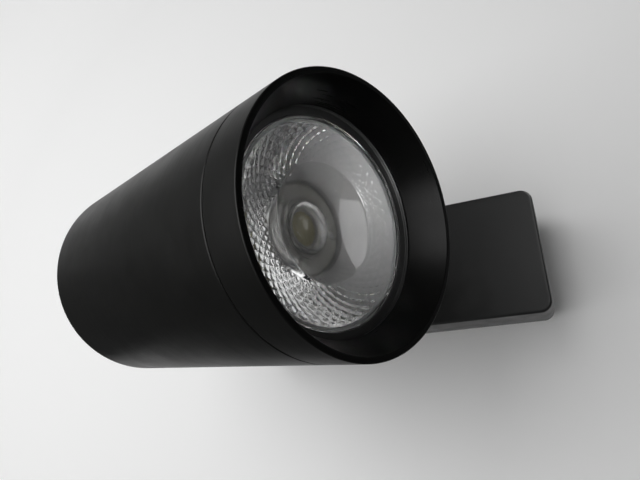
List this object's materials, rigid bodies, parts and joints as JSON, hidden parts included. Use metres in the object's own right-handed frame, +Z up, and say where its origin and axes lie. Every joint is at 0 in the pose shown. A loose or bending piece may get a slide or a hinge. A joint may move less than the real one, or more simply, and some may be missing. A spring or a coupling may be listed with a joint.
{
  "type": "track spotlight",
  "caption": "Cylindrical LED spotlight on a tilting and turning arm under a long driver box that locks into a single-circuit lighting track.",
  "frame": {"origin": "where the arm's turning axis meets the plane in which the driver box seats against the face of the track", "axes": "+Z up out of the seat, towards the track and the ceiling; +X along the track, towards the long end of the driver box; the head points along +X, turned 4.7 degrees towards +Y and dipped 24 degrees"},
  "size_m": [0.2097, 0.106, 0.2093],
  "materials": {
    "black_coat": "satin",
    "black_cone": "satin",
    "black_plastic": "satin",
    "red_plastic": "satin",
    "brass": "satin",
    "screw_steel": "satin",
    "friction_washer": "matte",
    "natural_plastic": "satin",
    "clear_lens": "gloss",
    "grey_silicone": "matte",
    "bare_aluminium": "satin",
    "phosphor": "matte",
    "circuit_board": "satin",
    "green_plastic": "satin",
    "dark_winding": "matte",
    "copper_winding": "satin",
    "capacitor_sleeve": "gloss"
  },
  "bodies": {
    "root": {"driver_housing": "black_plastic", "driver_cover": "black_plastic", "cover_screw_1": "screw_steel", "cover_screw_2": "screw_steel", "cover_screw_3": "screw_steel", "cover_screw_4": "screw_steel", "track_neck": "black_plastic", "driver_pcb": "circuit_board", "pcb_screw_1": "screw_steel", "pcb_screw_2": "screw_steel", "transformer": "dark_winding", "choke": "copper_winding", "input_capacitor": "capacitor_sleeve", "output_capacitor": "capacitor_sleeve", "terminal_block": "green_plastic", "pan_bush": "natural_plastic"},
    "lock": {"lock_rotor": "black_plastic", "lock_lever": "red_plastic", "contact_live": "brass", "contact_neutral": "brass"},
    "earth": {"earth_contact": "brass"},
    "arm": {"swivel_arm": "black_coat", "pan_stop_washer": "screw_steel", "pan_nut": "screw_steel"},
    "head": {"head_tube": "black_coat", "rear_cap": "black_coat", "rear_cap_screw_1": "screw_steel", "rear_cap_screw_2": "screw_steel", "rear_cap_screw_3": "screw_steel", "front_ring": "black_cone", "lens": "clear_lens", "lens_gasket": "grey_silicone", "lens_holder": "black_plastic", "cob_holder": "natural_plastic", "cob_holder_screw_1": "screw_steel", "cob_holder_screw_2": "screw_steel", "cob_board": "bare_aluminium", "cob_phosphor": "phosphor", "thermal_pad": "grey_silicone", "heat_sink": "bare_aluminium", "pivot_bracket": "screw_steel", "bracket_screw_1": "screw_steel", "bracket_screw_2": "screw_steel", "tilt_washer_left": "friction_washer", "tilt_washer_right": "friction_washer", "tilt_bolt": "screw_steel", "tilt_nut": "screw_steel"}
  },
  "joints": [
    {"name": "pan_turn", "type": "hinge", "parent": "root", "child": "arm", "pos_m": [0, 0, -0.034], "axis": [0, 0, 1], "range_deg": [-173.2, 163.8]},
    {"name": "tilt_turn", "type": "hinge", "parent": "arm", "child": "head", "pos_m": [0, 0, -0.111], "axis": [-0.0819, 0.9966, 0], "range_deg": [-24, 66]},
    {"name": "lock_turn", "type": "hinge", "parent": "root", "child": "lock", "pos_m": [0.048, 0, 0], "axis": [0, 0, 1], "range_deg": [0, 90]},
    {"name": "earth_press", "type": "slide", "parent": "root", "child": "earth", "axis": [0, -1, 0], "range_m": [0, 0.0012], "stiffness_N_per_m": 600, "springref_m": -0.0004}
  ]
}
